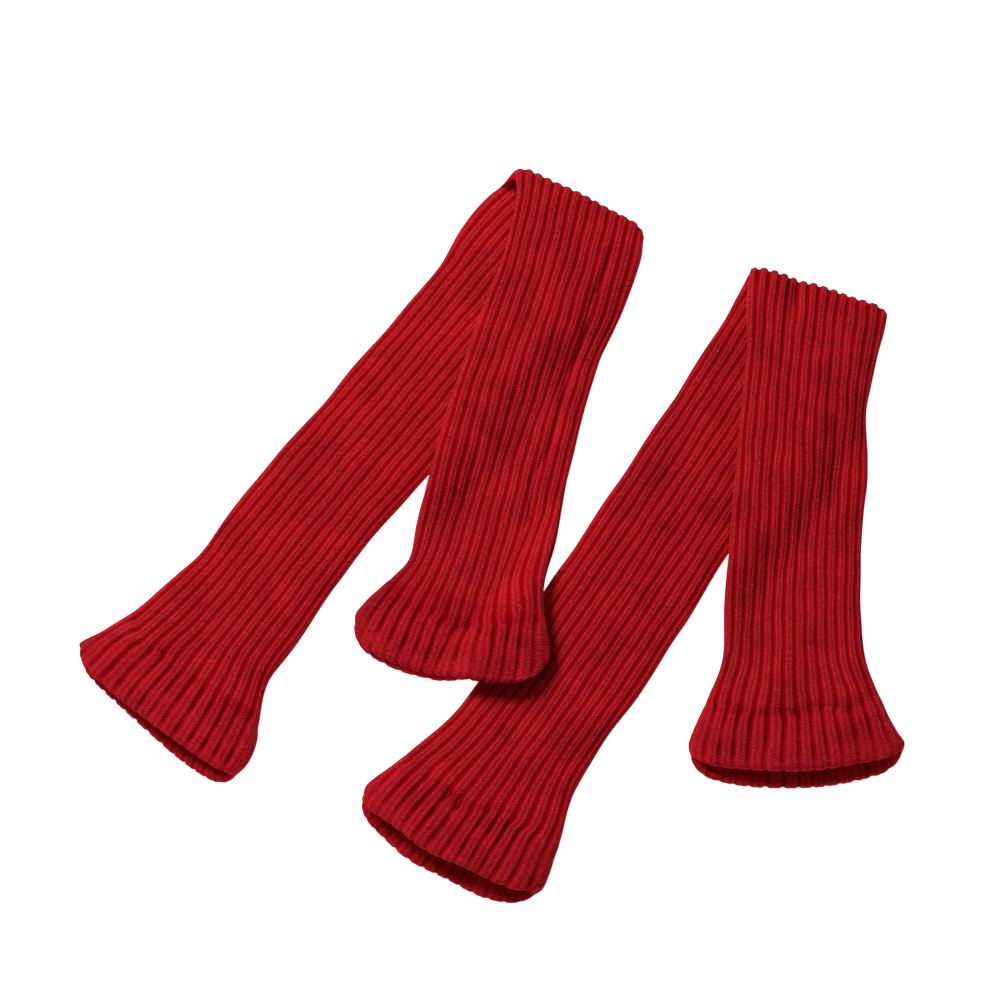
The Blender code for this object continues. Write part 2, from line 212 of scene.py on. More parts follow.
class LegWarmer:
    """One tube: its first run from the mouth to the fold, the roll, and its second run to the other mouth."""

    def __init__(self, first, fold, second, mouths, crosses=()):
        turn = math.radians(fold.turn_deg)
        self.fold_middle = np.array([fold.x, fold.y]) * MM
        self.along_fold = np.array([math.cos(turn), math.sin(turn)])
        self.past_fold = np.array([-math.sin(turn), math.cos(turn)])
        self.radius = fold.radius * MM
        self.taper = fold.taper
        self.roll_opens = fold.opens
        self.corners = (fold.corner_west * MM, fold.corner_east * MM)
        self.mouths = mouths
        rows = np.concatenate([self.strip_rows(first), self.strip_rows(second, after_roll=True)])
        steps = np.linalg.norm(np.diff(rows[:, :2], axis=0), axis=1)
        knots = np.concatenate([[0.0], np.cumsum(steps)])
        self.at = curve_through(knots, rows)
        self.length = knots[-1]
        self.fold_at = np.interp(0.0, rows[:, 1], knots)
        self.straight_places, self.off_straight, self.even_widths = self.strays()
        lying = self.at(np.linspace(0.0, self.fold_at, LYING_POINTS))
        self.first_run = LyingRun(self.floor_points(lying[:, 0], lying[:, 1]), lying[:, 2])
        self.lies_on = ((self.first_run, OWN_FALL), *((run, CROSS_FALL) for run in crosses))

    def strays(self):
        """(Places along the strip, how far its middle strays from an even line, its half width made even)."""
        places = np.arange(0.0, self.length, STRAY_STEP)
        strip = self.at(places)[:, :3]
        ahead = np.gradient(strip[:, :2], axis=0)
        ahead /= np.linalg.norm(ahead, axis=1, keepdims=True)
        reach = round(EVEN_REACH * EVEN_LENGTH / STRAY_STEP)
        before = 2.0 * strip[0] - strip[reach:0:-1]
        after = 2.0 * strip[-1] - strip[-2 : -reach - 2 : -1]
        padded = np.concatenate([before, strip, after])
        weights = np.exp(-0.5 * (np.arange(-reach, reach + 1) * STRAY_STEP / EVEN_LENGTH) ** 2)
        weights /= weights.sum()
        even = np.column_stack([np.convolve(padded[:, k], weights, "valid") for k in (0, 1, 2)])
        off = strip - even
        from_mouth = np.minimum(places, self.length - places)
        flared = 1.0 - smooth_step((from_mouth - FLARE_LENGTH) / FLARE_LENGTH)
        return places, off[:, 0] * ahead[:, 1] - off[:, 1] * ahead[:, 0], even[:, 2] + flared * off[:, 2]

    def strip_rows(self, stations, after_roll=False):
        """The stations as places along and past the fold line. The second run is laid on past the roll."""
        table = np.array(stations) * [MM, MM, MM, MM, 1.0]
        from_fold = table[:, :2] - self.fold_middle
        along = from_fold @ self.along_fold
        past = from_fold @ self.past_fold
        if after_roll:
            past = math.pi * self.radius - past
        return np.column_stack([along, past, table[:, 2:]])

    def floor_points(self, along, past):
        """Places along and past the fold line, as x and y."""
        return self.fold_middle + along[..., None] * self.along_fold + past[..., None] * self.past_fold

    def heading(self, place):
        """The direction of the strip, along and past the fold line."""
        ahead = self.at(place + SLOPE_STEP)[..., :2] - self.at(place - SLOPE_STEP)[..., :2]
        return ahead / np.linalg.norm(ahead, axis=-1, keepdims=True)

    def middle(self, place, across):
        """The tube's middle surface at places along and across the strip, less the tube's own half height."""
        ahead = self.heading(place)
        centre = self.at(place)
        along = centre[..., 0] + across * ahead[..., 1]
        past = centre[..., 1] - across * ahead[..., 0]
        radius = self.radius + self.taper * across
        turned = np.clip(past / radius, 0.0, math.pi)
        beyond = np.maximum(past - math.pi * radius, 0.0)
        evened = math.pi * self.taper * across * smooth_step(beyond / TAPER_EVENS)
        floor = self.floor_points(along, np.minimum(past, 0.0) + radius * np.sin(turned) - beyond - evened)
        rolled = radius * (1.0 - np.cos(turned))
        lift = np.max([run.lift(floor, fall) for run, fall in self.lies_on], axis=0)
        height = rolled + (lift - rolled) * smooth_step(beyond / ROLL_SETTLES)
        return np.concatenate([floor, height[..., None]], axis=-1)

    def normal(self, place, across):
        """The middle surface's own upward direction on the first run, which points down on the second."""
        sideways = self.middle(place, across + SLOPE_STEP) - self.middle(place, across - SLOPE_STEP)
        forwards = self.middle(place + SLOPE_STEP, across) - self.middle(place - SLOPE_STEP, across)
        normal = np.cross(sideways, forwards)
        return normal / np.linalg.norm(normal, axis=-1, keepdims=True)

    def corner_pull(self, place, across, wide):
        """How x and y move near the roll, where the tube's edges are drawn back in rounded corners."""
        past = self.at(place)[..., 1] - across * self.heading(place)[..., 0]
        from_roll = (past - 0.5 * math.pi * (self.radius + self.taper * across)) / CORNER_LENGTH
        corner = np.where(wide > 0.0, self.corners[1], self.corners[0])
        drawn_back = corner * corner_drop(wide) * np.exp(-(from_roll**2))
        return -drawn_back[..., None] * self.past_fold

    def mouth_shift(self, second, half_width, wide, high):
        """How far a mouth's rim lies out past a square end, at shares of the half width and half height."""
        mouth = self.mouths[1 if second else 0]
        up = -1.0 if second else 1.0
        slant = half_width * wide * math.tan(math.radians(mouth.slant_deg))
        bulge = mouth.bow * MM * (1.0 - wide**2)
        rounded = mouth.rounded * MM * corner_drop(wide)
        back = mouth.back_west + (mouth.back_east - mouth.back_west) * (0.5 + 0.5 * wide) ** 2
        return slant + bulge - rounded - back * MM * smooth_step(0.5 + 0.5 * up * high / LEVEL_SHARE)


east = LegWarmer(EAST_FIRST, EAST_FOLD, EAST_SECOND, EAST_MOUTHS)
west = LegWarmer(WEST_FIRST, WEST_FOLD, WEST_SECOND, WEST_MOUTHS, crosses=(east.first_run,))
for name, leg in (("west", west), ("east", east)):
    print(name, "tube", round(leg.length / MM), "mm long, folded at", round(leg.fold_at / MM), "mm")

# %% [markdown]
# ## The rib knit
#
# In a rib knit, columns of stitches, called wales, stand up in pairs, and the cloth between two pairs
# sinks back and pulls the whole tube narrow. The ribs could be a bump in the shader, but they are about
# 1 mm deep on the tube and 2 mm in the hems, they shade one another and they make the fold's edge
# scalloped, so they are real geometry here: each point of the skin is moved in from the smooth tube by
# how deep the knit is there. The columns of the mesh follow the ribs, with 14 points to each, so that
# every trough and both wales of a pair stay sharp wherever a rib wanders.

# %% Sizes of the ribs
RIBS = 28  # all round a tube
RIBS_TO_EDGE = RIBS / 4  # from the middle of a face to its side edge
HALF_RIB_PHASES = [0.0, 0.07, 0.13, 0.2, 0.27, 0.34, 0.42, 0.5]  # where the mesh has its points
RIB_PHASES = np.array(HALF_RIB_PHASES + [1.0 - phase for phase in HALF_RIB_PHASES[-2:0:-1]])
TUBE_RIB_DEPTH = 0.8 * MM
HEM_RIB_DEPTH = 1.9 * MM
TUBE_WALE_VALLEY = 0.42  # how deep the valley between a rib's two wales is, as a share of the rib's depth
HEM_WALE_VALLEY = 0.2
WALE_OFF_MIDDLE = 0.16  # how far a wale's crown is from the rib's middle, as a share of a rib
TUBE_TROUGH = 0.12  # the level floor between ribs, as a share of a rib
HEM_TROUGH = 0.08
TUBE_RIB_BLUNT = 1.05  # how squarely a rib falls to its trough
HEM_RIB_BLUNT = 1.8
RIB_STEP = 1.6 * MM  # between the rings of points along a tube
phases_round = (np.arange(RIBS)[:, None] + RIB_PHASES).ravel()
print("points round a tube:", len(phases_round))


# %% How far a rib stands below its crown
def rib_drop(phase, depth, blunt, trough, valley):
    """How deep the knit is at a phase of 0 to 1 across a rib, whose troughs are at 0 and 1."""
    off_middle = np.abs(phase % 1.0 - 0.5)
    past_wale = np.clip((off_middle - WALE_OFF_MIDDLE) / (0.5 - 0.5 * trough - WALE_OFF_MIDDLE), 0.0, 1.0)
    before_wale = np.clip(1.0 - off_middle / WALE_OFF_MIDDLE, 0.0, 1.0)
    return depth * (smooth_step(past_wale**blunt) + valley * smooth_step(before_wale))


half_rib = np.array(HALF_RIB_PHASES)
half_rib_drop = rib_drop(half_rib, TUBE_RIB_DEPTH, TUBE_RIB_BLUNT, TUBE_TROUGH, TUBE_WALE_VALLEY)
print("drop across half a rib, mm:", np.round(half_rib_drop / MM, 2))

# %% [markdown]
# ## Nothing is quite even
#
# Ribs on real cloth waver, some stand higher than their neighbours, and the whole face of the tube
# swells and sinks by half a millimetre. Over the roll of a fold the knit is stretched, and there its
# troughs open up. Without all that, a knit looks extruded. Sums of a few slow waves do it with no image
# and no noise texture, and stay the same on every run. Each kind of unevenness has a seed of its own,
# counted on from the leg warmer's.


# %% Slow waves
def slow_waves(place, share, seed, wavelengths):
    """A smooth, uneven value of about -1 to 1, that closes on itself round the tube."""
    waves = np.random.default_rng(seed)
    total = 0.0
    for wavelength in wavelengths:
        turns = waves.integers(1, 6)
        start = waves.uniform(0.0, 2.0 * math.pi, 2)
        along = np.sin(2.0 * math.pi * place / wavelength + start[0])
        total = total + along * np.sin(2.0 * math.pi * turns * share + start[1])
    return total / math.sqrt(len(wavelengths))


WANDER = 0.07  # of a rib's width, sideways
WANDER_WAVES = (0.031, 0.052, 0.083, 0.140)  # wavelengths in metres, as all of these are
SWELL = 0.7 * MM
SWELL_WAVES = (0.060, 0.085, 0.120, 0.180)
RIB_UNEVEN = 0.16  # how much higher or lower one rib is than the next
TUBE_TROUGH_UNEVEN = 0.15  # how much shallower the shallowest trough is than the deepest
HEM_TROUGH_UNEVEN = 0.3
ROLL_OPENS_LENGTH = 14.0 * MM  # how far from the roll's crest its stretched troughs reach
print("wander of a rib:", WANDER, "of its width")

# %% [markdown]
# ## Creases and rolled edges
#
# Where the tube has been pulled over its fold, long soft troughs run down the second run, and its free
# edge stands up as a rounded ridge. They could come from a cloth simulation, but then they would fall
# anywhere. Each one is placed as a line of points on the floor plan, with how far the cloth
# rises or sinks there, and fades out at both ends.

# %% Table of creases: floor points in millimetres, with the share of the height at each
Crease = namedtuple("Crease", "run width height points")

CREASES = (
    Crease("west_second", 2.6, -2.4, (
        (74, 180, 0.3), (68, 164, 0.8), (59, 140, 0.7), (52, 113, 0.8), (44, 95, 0.8),
        (39, 68, 0.6), (32, 44, 0.8), (24, 27, 0.7), (21, -2, 1.0), (15, -15, 0.0))),
    Crease("west_second", 6.0, -1.1, (
        (-7, 101, 0.0), (-9, 88, 0.7), (-11, 60, 1.0), (-14, 26, 0.9), (-19, -8, 0.6), (-24, -34, 0.0))),
    Crease("west_second", 5.0, -1.0, (
        (38, 206, 0.0), (34, 181, 0.8), (24, 146, 1.0), (14, 113, 0.5), (8, 93, 0.0))),
    Crease("west_second", 6.0, 1.5, (
        (17, 237, 0.3), (10, 199, 0.8), (1, 158, 1.0), (-11, 108, 1.0), (-26, 59, 0.7), (-35, 21, 0.2))),
    Crease("east_second", 4.2, -3.2, (
        (192, 166, 0.2), (187, 158, 0.9), (183, 137, 1.0), (177, 108, 0.4), (174, 93, 0.0))),
    Crease("east_second", 5.0, 1.3, (
        (163, 169, 0.5), (160, 141, 1.0), (156, 111, 1.0), (151, 74, 0.8), (145, 31, 0.5), (139, -19, 0.0))),
    Crease("east_second", 4.5, -1.4, (
        (213, 121, 0.0), (206, 96, 0.9), (204, 71, 1.0), (207, 41, 0.8), (203, 6, 0.4), (200, -19, 0.0))),
    Crease("east_second", 6.0, -0.8, (
        (168, 61, 0.0), (165, 31, 0.8), (162, -9, 1.0), (160, -49, 0.6), (157, -79, 0.0))),
    Crease("west_first", 6.0, -0.9, (
        (-25, 151, 0.0), (-48, 116, 0.8), (-84, 67, 1.0), (-120, 16, 0.7), (-146, -24, 0.0))),
    Crease("west_first", 5.0, -0.8, (
        (-40, 76, 0.0), (-66, 41, 0.8), (-96, -1, 1.0), (-126, -44, 0.6), (-140, -65, 0.0))),
    Crease("east_first", 6.0, -0.9, (
        (140, 86, 0.0), (118, 49, 0.8), (88, -1, 1.0), (58, -49, 0.7), (34, -89, 0.0))),
    Crease("east_first", 5.0, -0.8, (
        (112, -23, 0.0), (92, -55, 0.8), (66, -97, 0.9), (46, -129, 0.0))),
)
print("creases:", len(CREASES))


# %% The rise or sink of every crease at a point
def crease_height(run, floor):
    """How far the creases of one run raise the cloth over places on the floor."""
    total = np.zeros(floor.shape[:-1])
    for crease in CREASES:
        if crease.run != run:
            continue
        points = np.array(crease.points) * [MM, MM, 1.0]
        nearest = np.full(total.shape, np.inf)
        strength = np.zeros(total.shape)
        for start, end in zip(points, points[1:]):
            side = end[:2] - start[:2]
            share = np.clip((floor - start[:2]) @ side / (side @ side), 0.0, 1.0)
            away = np.linalg.norm(floor - start[:2] - share[..., None] * side, axis=-1)
            closer = away < nearest
            nearest = np.where(closer, away, nearest)
            strength = np.where(closer, start[2] + share * (end[2] - start[2]), strength)
        total += crease.height * MM * strength * np.exp(-((nearest / (crease.width * MM)) ** 2))
    return total


print("on the long crease, mm:", round(crease_height("west_second", np.array([[0.070, 0.166]]))[0] / MM, 2))

# %% [markdown]
# ## The hems
#
# The last 33 mm of each end is knitted with deeper ribs that fan out, turned in and linked down inside.
# The linking pulls a shallow, wavy dent across each face, with a small pucker where a rib of the tube
# meets one of the hem, and the doubled edge is thick and soft. A separate ring of cloth laid on the tube
# would show a step, so the hem is the same skin, with its ribs changed over that length and its lip
# rounded over to the inside.

# %% Sizes of a hem
HEM_DEPTH = 33.0 * MM
HEM_WALL = 5.4 * MM  # with the air that the doubled cloth holds
HEM_PUFF = 0.9 * MM  # how far the doubled cloth stands out
HEM_CHANGE = 6.0 * MM  # over which the ribs change
HEM_JOG = 0.16  # how far a rib steps sideways there, in ribs
HEM_JOG_TURNS = (2, 3, 5)  # how many waves there are round the tube
LINK_DENT = 1.0 * MM
LINK_WIDTH = 3.0 * MM
LINK_WAVER = 2.0 * MM  # how far the linking line strays
LINK_WAVER_TURNS = (3, 5, 8)
PUCKER_DEPTH = 1.3 * MM
PUCKER_LENGTH = 4.2 * MM
PUCKER_WIDTH = 0.3  # of a rib
LIP_RINGS = 9
INNER_STEP = 2.4 * MM
LIP_FADE = 0.16  # the share of the hem over which the ribs fade towards the lip
HEM_SPREADS = 1.5 * MM  # how far the doubled cloth bulges out at each side edge
SPREAD_BY = 0.7  # the share of the hem over which the bulge grows
CORNER_FROM = 0.72  # the share of the hem from which its corners are rounded
CORNER_NARROWS = 3.4 * MM  # how far each side edge is drawn in again at the lip
LIP_RIB_SHARE = 0.55  # of the ribs' depth, at the lip
HEM_RIB_FADE = 0.25  # how much of their depth the ribs have lost on the way down to the lip
HEM_RIB_WAVES = (0.016, 0.024, 0.037)
HEM_RIB_VARIES = 0.35  # how much deeper and shallower a rib of the hem is along its length
HEM_SIDE = 0.2  # the share of a face, from its side edge in, over which the linking's dent comes in
HEM_SIDE_FADE = 0.45  # how much of the ribs' depth and of the puff is missing on the side edge itself
print("hem:", HEM_DEPTH / MM, "mm deep, lip", HEM_WALL / MM, "mm thick")


# %% Where the hem begins and how the ribs stray
def ring_waves(share, seed, turns):
    """A smooth, uneven value of about -1 to 1 round the tube."""
    starts = np.random.default_rng(seed).uniform(0.0, 2.0 * math.pi, len(turns))
    waves = [np.sin(2.0 * math.pi * turn * share + start) for turn, start in zip(turns, starts)]
    return sum(waves) / math.sqrt(len(turns))


def past_link(seed, from_lip, share):
    """How far a place is from the linking line. It is negative inside the hem."""
    return from_lip - HEM_DEPTH - LINK_WAVER * ring_waves(share, seed + 3, LINK_WAVER_TURNS)


def in_hem(off_line):
    """0 on the tube and 1 in the hem, at a distance from the linking line."""
    return 1.0 - smooth_step(off_line / HEM_CHANGE + 0.5)


def rib_offset(leg, seed, from_lip, place, share):
    """How many ribs the knit has strayed from even spacing round the tube."""
    face = (share % 0.5) / 0.5
    side = np.where(share % 1.0 < 0.5, -1.0, 1.0)
    half_width = leg.at(place)[..., 2]
    off = np.interp(place, leg.straight_places, leg.off_straight) / half_width
    widened = np.interp(place, leg.straight_places, leg.even_widths) / half_width - 1.0
    wide = side * (2.0 * face - 1.0)
    straightened = RIBS_TO_EDGE * side * (off - wide * widened) * (1.0 - wide**4)
    wander = WANDER * slow_waves(place, share, seed + 2, WANDER_WAVES)
    jog = HEM_JOG * in_hem(past_link(seed, from_lip, share))
    return straightened + wander + jog * ring_waves(share, seed + 5, HEM_JOG_TURNS)


print("on the linking line the ribs are", in_hem(0.0), "of the way to a hem's")

# %% The depth of the ribs anywhere on a tube
rib_at = np.floor(phases_round).astype(int)
trough_at = np.round(phases_round).astype(int) % RIBS


def per_rib(seed, low, high):
    """A value for each rib, or for each trough, somewhere between two limits."""
    return np.random.default_rng(seed).uniform(low, high, RIBS)


def blend(on_tube, on_hem, hem):
    """A value that changes from the tube's to the hem's."""
    return on_tube + hem * (on_hem - on_tube)


def near_side(share):
    """1 on the flattened tube's two side edges, and 0 over the rest of its faces."""
    return 1.0 - smooth_step(np.minimum(share % 0.5, 0.5 - share % 0.5) / (0.5 * HEM_SIDE))


def ribs_drop(leg, seed, hem, from_lip, place, share, lip):
    """How far the ribs bring each point in from their crowns. Hem is how far they have changed to a hem's."""
    from_crest = (place - leg.fold_at - 0.5 * math.pi * leg.radius) / ROLL_OPENS_LENGTH
    on_roll = np.exp(-(from_crest**2))
    shallow = per_rib(seed + 6, 0.0, 1.0)[trough_at]
    varied = HEM_RIB_VARIES * slow_waves(from_lip, share, seed + 7, HEM_RIB_WAVES)
    lost = HEM_RIB_FADE * smooth_step(1.0 - from_lip / HEM_DEPTH) + HEM_SIDE_FADE * near_side(share)
    depth = blend(TUBE_RIB_DEPTH, HEM_RIB_DEPTH, hem) * (1.0 + hem * (varied - lost))
    depth = depth * (1.0 + leg.roll_opens * on_roll) * (1.0 - (1.0 - LIP_RIB_SHARE) * lip)
    depth = depth * (1.0 - shallow * blend(TUBE_TROUGH_UNEVEN, HEM_TROUGH_UNEVEN, hem))
    blunt = blend(TUBE_RIB_BLUNT, HEM_RIB_BLUNT, hem)
    trough = blend(TUBE_TROUGH, HEM_TROUGH, hem)
    valley = blend(TUBE_WALE_VALLEY, HEM_WALE_VALLEY, hem) * (1.0 - on_roll)
    return rib_drop(phases_round, depth, blunt, trough, valley)


print("at half a hem, ribs are", round(blend(TUBE_RIB_DEPTH, HEM_RIB_DEPTH, 0.5) / MM, 2), "mm deep")


# %% How far the whole knit stands out from the smooth tube
def knit_rise(leg, seed, from_lip, place, share, lip):
    """(How far the knit stands out from the smooth tube, its depth in a trough as a share of 0 to 1)."""
    off_line = past_link(seed, from_lip, share)
    hem = in_hem(off_line)
    on_face = 1.0 - near_side(share)
    uneven = per_rib(seed, -RIB_UNEVEN, RIB_UNEVEN)[rib_at]
    crown = TUBE_RIB_DEPTH * uneven * np.sin(math.pi * (phases_round % 1.0)) ** 2 * (1.0 - lip)
    from_trough = np.abs((phases_round + 0.5) % 1.0 - 0.5)
    near_pucker = np.exp(-((off_line / PUCKER_LENGTH) ** 2) - (from_trough / PUCKER_WIDTH) ** 2)
    puckered = per_rib(seed + 1, 0.0, PUCKER_DEPTH)[trough_at] * on_face * near_pucker
    drop = ribs_drop(leg, seed, hem, from_lip, place, share, lip)
    linked = LINK_DENT * on_face * np.exp(-((off_line / LINK_WIDTH) ** 2))
    puff = HEM_PUFF * np.sin(math.pi * np.clip(from_lip / HEM_DEPTH, 0.0, 1.0)) * (1.0 - lip)
    puff = puff * (1.0 - HEM_SIDE_FADE * near_side(share))
    swell = SWELL * slow_waves(place, share, seed + 4, SWELL_WAVES)
    full = blend(TUBE_RIB_DEPTH, HEM_RIB_DEPTH, hem)
    return puff + swell - drop - linked - puckered + crown, np.clip((drop + puckered) / full, 0.0, 1.0)


print("ribs vary by", round(TUBE_RIB_DEPTH * RIB_UNEVEN / MM, 2), "mm")


# %% The smooth section of a flattened tube
OVAL_POINTS = 1441  # four for each degree, so that even shares of the way round are exact enough


def flattened_oval(half_width, half_height, square, shares):
    """A blunt oval, as shares of its half width and half height, at even shares of its way round."""
    angle = np.linspace(0.0, 2.0 * math.pi, OVAL_POINTS)
    wide = np.sign(np.cos(angle)) * np.abs(np.cos(angle)) ** (2.0 / square)
    high = np.sign(np.sin(angle)) * np.abs(np.sin(angle)) ** (2.0 / square)
    steps = np.hypot(half_width * np.diff(wide), half_height * np.diff(high))
    passed = np.concatenate([[0.0], np.cumsum(steps)])
    passed /= passed[-1]
    return np.interp(shares % 1.0, passed, wide), np.interp(shares % 1.0, passed, high)


print("section at the top middle:", flattened_oval(0.04, 0.0045, 4.0, np.array([0.25])))

# %% [markdown]
# ## Building one piece of skin
#
# A piece is a stack of rings. Each row of its plan says where a ring is on the strip, how far in it is
# from the outside, and how far towards the mouth. A hem's plan goes out along the outside, round the
# lip and back along the inside. From the rings' own slopes comes the direction straight out of the
# cloth, and the knit and the creases move every point along it. One mesh made this way could also be a
# flat grid under a chain of modifiers, but then a rib couldn't be told to follow the strip.

# %% Rings of one plan
# A ring's place on the strip, how far in it is, what shares it takes of the mouth's slant and of the
# lip's form, and how far its side edges are spread.
Row = namedtuple("Row", "place inward to_mouth lip spread")
SHARE_ROUNDS = 8  # enough for the ribs' places to settle
NEAR_MOUTH = 90.0 * MM  # further off than this, a ring is told only its middle's distance


def distances_to_lip(leg, row, shares):
    """How far each point of a ring is from the nearer lip, which is bowed and slanted."""
    from_mouth = min(row.place, leg.length - row.place)
    if from_mouth > NEAR_MOUTH:
        return np.full(len(shares), from_mouth)
    _, _, half_width, half_height, square = leg.at(np.array(row.place))
    wide, high = flattened_oval(half_width, half_height, square, shares)
    shift = leg.mouth_shift(row.place > leg.fold_at, half_width, wide, high)
    return from_mouth + (1.0 - row.to_mouth) * shift


def smooth_rings(leg, seed, plan):
    """The smooth tube's points, ring by ring, and where each is on the way round. Columns follow the ribs."""
    place = np.array([row.place for row in plan])[:, None] + 0.0 * phases_round
    share = place * 0.0 + phases_round / RIBS
    from_lip = np.array([distances_to_lip(leg, row, phases_round / RIBS) for row in plan])
    for _ in range(SHARE_ROUNDS):
        share = (phases_round - rib_offset(leg, seed, from_lip, place, share)) / RIBS
    rings = []
    for row, row_share in zip(plan, share):
        _, _, half_width, half_height, square = leg.at(np.array(row.place))
        wide, high = flattened_oval(half_width, half_height, square, row_share)
        places = np.full(len(phases_round), row.place)
        if row.to_mouth:
            second = row.place > leg.fold_at
            shift = leg.mouth_shift(second, half_width, wide, high)
            places = places + (1.0 if second else -1.0) * row.to_mouth * shift
        across = (half_width - row.inward) * wide + row.spread * np.sign(wide) * corner_drop(wide)
        offset = (half_height - row.inward) * high
        rings.append((places, across, offset, wide, np.full(len(places), half_height)))
    places, across, offset, wide, half_height = np.moveaxis(np.array(rings), 1, 0)
    points = leg.middle(places, across) + offset[..., None] * leg.normal(places, across)
    points[..., :2] += leg.corner_pull(places, across, wide)
    points[..., 2] += half_height
    return points, place, from_lip, share


def outward(points):
    """The direction straight out of the cloth at each point of a stack of rings."""
    along = np.gradient(points, axis=0)
    around = np.roll(points, -1, axis=1) - np.roll(points, 1, axis=1)
    normal = np.cross(around, along)
    normal /= np.linalg.norm(normal, axis=-1, keepdims=True)
    from_middle = points - points.mean(axis=1, keepdims=True)
    return normal * np.sign((normal * from_middle).sum())


print("rows:", Row._fields)


# %% A mesh from a stack of rings
def skin_from_rings(name, points, stitches, depth, material):
    """An object through the rings. A UV map holds the stitches' places, and an attribute the knit's depth,
    which the shader paints as shade in the troughs.
    """
    rows, columns = points.shape[:2]
    here = np.arange(rows * columns).reshape(rows, columns)
    ahead = np.roll(here, -1, axis=1)
    corners = np.stack([here[:-1], ahead[:-1], ahead[1:], here[1:]], axis=-1).reshape(-1, 4)
    mesh = bpy.data.meshes.new(name)
    mesh.from_pydata(points.reshape(-1, 3).tolist(), [], corners.tolist())
    uv = stitches.reshape(-1, 2)[corners]
    closes_ring = corners[:, 1] < corners[:, 0]
    uv[closes_ring, 1:3, 0] += RIBS
    mesh.uv_layers.new(name="stitches").data.foreach_set("uv", uv.astype(np.float32).ravel())
    depths = mesh.attributes.new("knit_depth", "FLOAT", "POINT")
    depths.data.foreach_set("value", depth.astype(np.float32).ravel())
    mesh.materials.append(material)
    mesh.shade_smooth()
    skin = bpy.data.objects.new(name, mesh)
    bpy.context.scene.collection.objects.link(skin)
    print(name, len(corners) * 2, "triangles")
    return skin


# %% [markdown]
# ## The yarn
#
# The leg warmers are knitted from a soft, slightly hairy acrylic and wool yarn in one red. To the eye
# that is a matt surface with no gloss, deep crimson between the ribs, a bright red on the crowns,
# and a faint light fuzz where the cloth turns away. The crimson between the ribs and between the
# stitches is painted shade on that one red, the light flecks on the fibres are painted highlights, and
# slow patches of lighter and darker red are painted light and shade for the cloth's soft swells. A
# stitch is about 2 mm across, too small to model on a mesh of this size, so the shader draws each
# wale's column of V shapes from the UV map, which counts ribs across and rows of stitches along.


# %% Colours and nodes
def linear(hex_colour):
    """An sRGB hex colour as linear red, green, blue and alpha."""
    values = [int(hex_colour[k : k + 2], 16) / 255.0 for k in (1, 3, 5)]
    return [v / 12.92 if v <= 0.04045 else ((v + 0.055) / 1.055) ** 2.4 for v in values] + [1.0]


def add_node(tree, kind, links=(), **settings):
    """A node with its settings, and its inputs set to values or linked to other nodes' sockets."""
    node = tree.nodes.new(kind)
    for key, value in settings.items():
        setattr(node, key, value)
    for key, value in dict(links).items():
        if isinstance(value, bpy.types.NodeSocket):
            tree.links.new(value, node.inputs[key])
        else:
            node.inputs[key].default_value = value
    return node


print("a mid grey of #808080 is", round(linear("#808080")[0], 3), "in linear light")

# %% Sizes of the stitches
COURSE = 1.9 * MM  # one row of stitches
STITCH_SLOPE = 0.55  # how far a V's legs rise across half a wale, in rows
STITCH_STRAY = 0.4  # how far a stitch strays up or down at most, in rows
STITCH_RELIEF = 0.3 * MM
STITCH_SHADE = 0.2  # how dark the painted shade in the gap between two stitches of a wale is
WALE_SIDE_SHADE = 0.42  # how dark the painted shade on a wale's sides is
TROUGH_SHADE = 0.66  # how far the colour goes to the trough's darker red, painted shade at the foot of a rib
WALES_START = 0.08  # where the first wale of a rib starts, as a share of the rib
WALE_SHARE = 0.42  # how much of a rib one wale takes
FIBRE_SIZE = 0.7 * MM  # a fibre is 0.02 mm thick, too fine to show, so it is drawn in clumps of this size
FIBRE_RELIEF = 0.12 * MM
FLECKS_FROM = 0.55  # the height of the fibres' noise where painted highlights start to show
FLECKS_TO = 0.66
FLECK_SHARE = 0.36  # how strong the painted highlight on the lightest fibres is
LOOP_SIZE = 1.6 * MM  # stitches differ from one another over about this length
LOOP_DARKEST = 0.57  # how light the darkest stitches can be
LOOP_RANGE = 0.9  # how much lighter than that the lightest can be
PATCH_SIZE = 20.0 * MM  # patches of painted light and shade, for the cloth's soft swells, over about this one
PATCH_DARKEST = 0.6
PATCH_RANGE = 0.8
print("stitches on one tube:", round(west.length / COURSE) * RIBS * 2)
